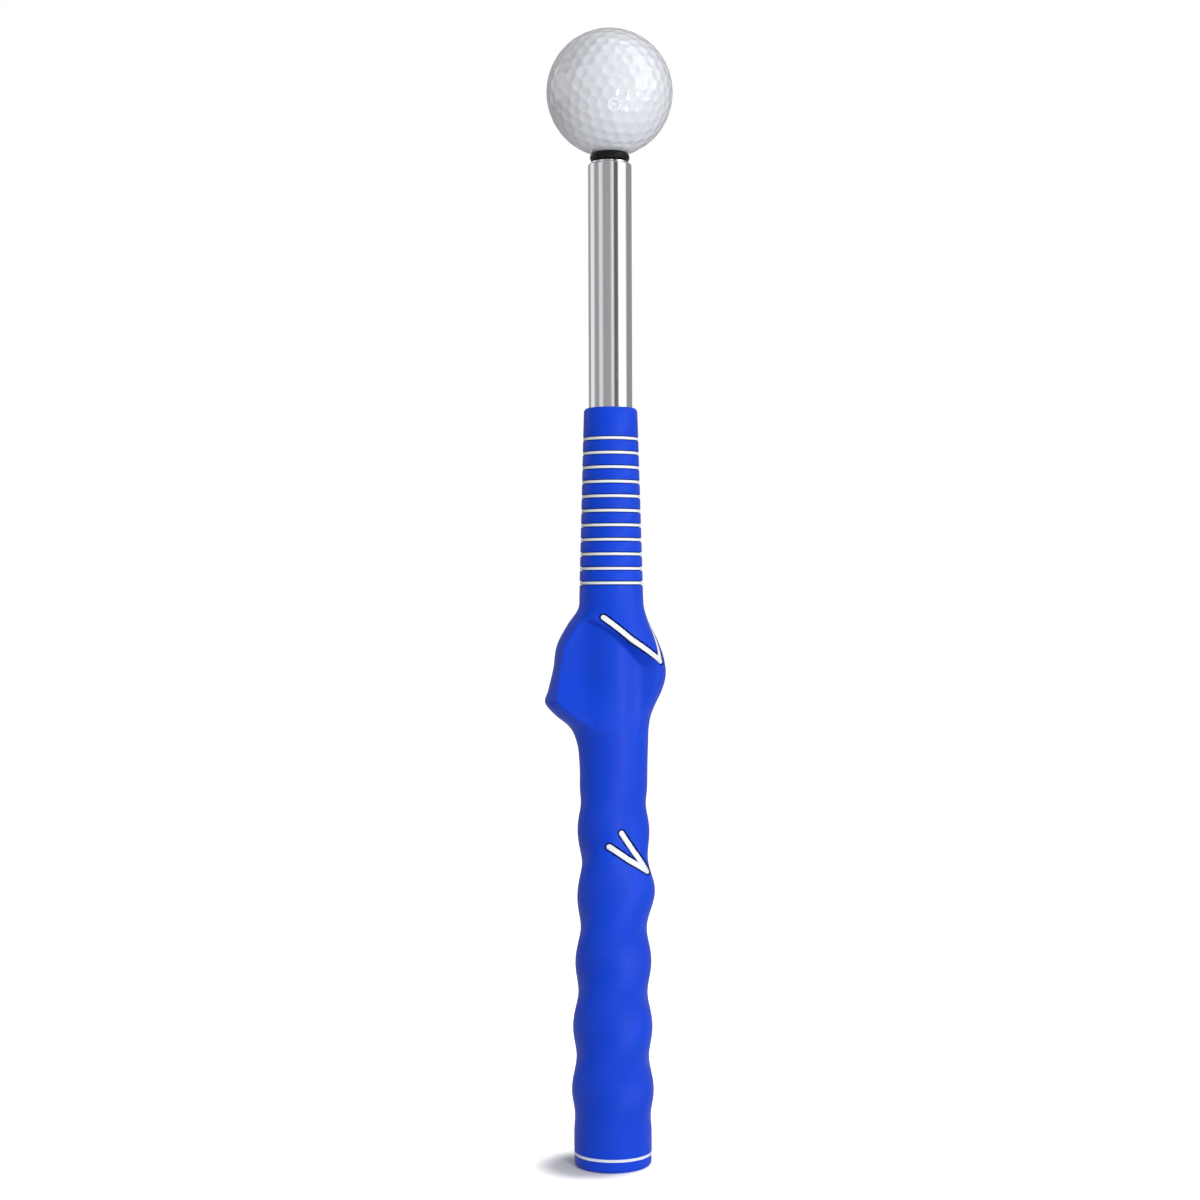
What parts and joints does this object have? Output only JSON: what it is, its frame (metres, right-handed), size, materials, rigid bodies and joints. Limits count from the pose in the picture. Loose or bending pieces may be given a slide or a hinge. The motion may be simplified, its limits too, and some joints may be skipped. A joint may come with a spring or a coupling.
{
  "type": "golf swing trainer stick",
  "caption": "Telescopic steel swing trainer with a moulded training grip at the butt and a golf ball fixed to the tip, shown closed and standing on its butt.",
  "frame": {"origin": "centre of the flat butt face the trainer stands on", "axes": "+Z along the shaft from the butt to the ball, -Y towards the side with the V marks and the thumb rest, -X towards the thumb wing"},
  "size_m": [0.0438, 0.0426, 0.3834],
  "materials": {
    "blue_rubber": "satin",
    "white_paint": "satin",
    "tape": "matte",
    "polished_steel": "polished",
    "nylon": "matte",
    "black_rubber": "matte",
    "brass": "satin",
    "brushed_steel": "satin",
    "core_rubber": "matte",
    "ball_cover": "gloss"
  },
  "bodies": {
    "handle": {"grip_sleeve": "blue_rubber", "butt_cap": "blue_rubber", "butt_ring_inlay": "white_paint", "neck_ring_inlays": "white_paint", "upper_v_mark": "white_paint", "lower_v_mark": "white_paint", "grip_tape": "tape", "outer_tube": "polished_steel", "outer_end_plug": "nylon", "stop_pad": "black_rubber", "outer_guide_bush": "nylon"},
    "middle_sleeve": {"middle_friction_sleeve": "brass"},
    "middle_stage": {"middle_tube": "polished_steel", "middle_base_ring": "brass", "middle_guide_bush": "nylon"},
    "inner_sleeve": {"inner_friction_sleeve": "brass"},
    "inner_stage": {"inner_tube": "polished_steel", "inner_base_ring": "brass", "tip_plug": "brass", "ball_stud": "brushed_steel", "bumper_ring": "black_rubber", "ball_insert": "brass", "ball_core": "core_rubber", "ball_cover": "ball_cover"}
  },
  "joints": [
    {"name": "middle_extend", "type": "slide", "parent": "handle", "child": "middle_sleeve", "axis": [0, 0, 1], "range_m": [0, 0.29]},
    {"name": "middle_turn", "type": "hinge", "parent": "middle_sleeve", "child": "middle_stage", "pos_m": [0, 0, 0.03], "axis": [0, 0, 1], "continuous": true},
    {"name": "inner_extend", "type": "slide", "parent": "middle_stage", "child": "inner_sleeve", "axis": [0, 0, 1], "range_m": [0, 0.283]},
    {"name": "inner_turn", "type": "hinge", "parent": "inner_sleeve", "child": "inner_stage", "pos_m": [0, 0, 0.04], "axis": [0, 0, 1], "continuous": true}
  ]
}
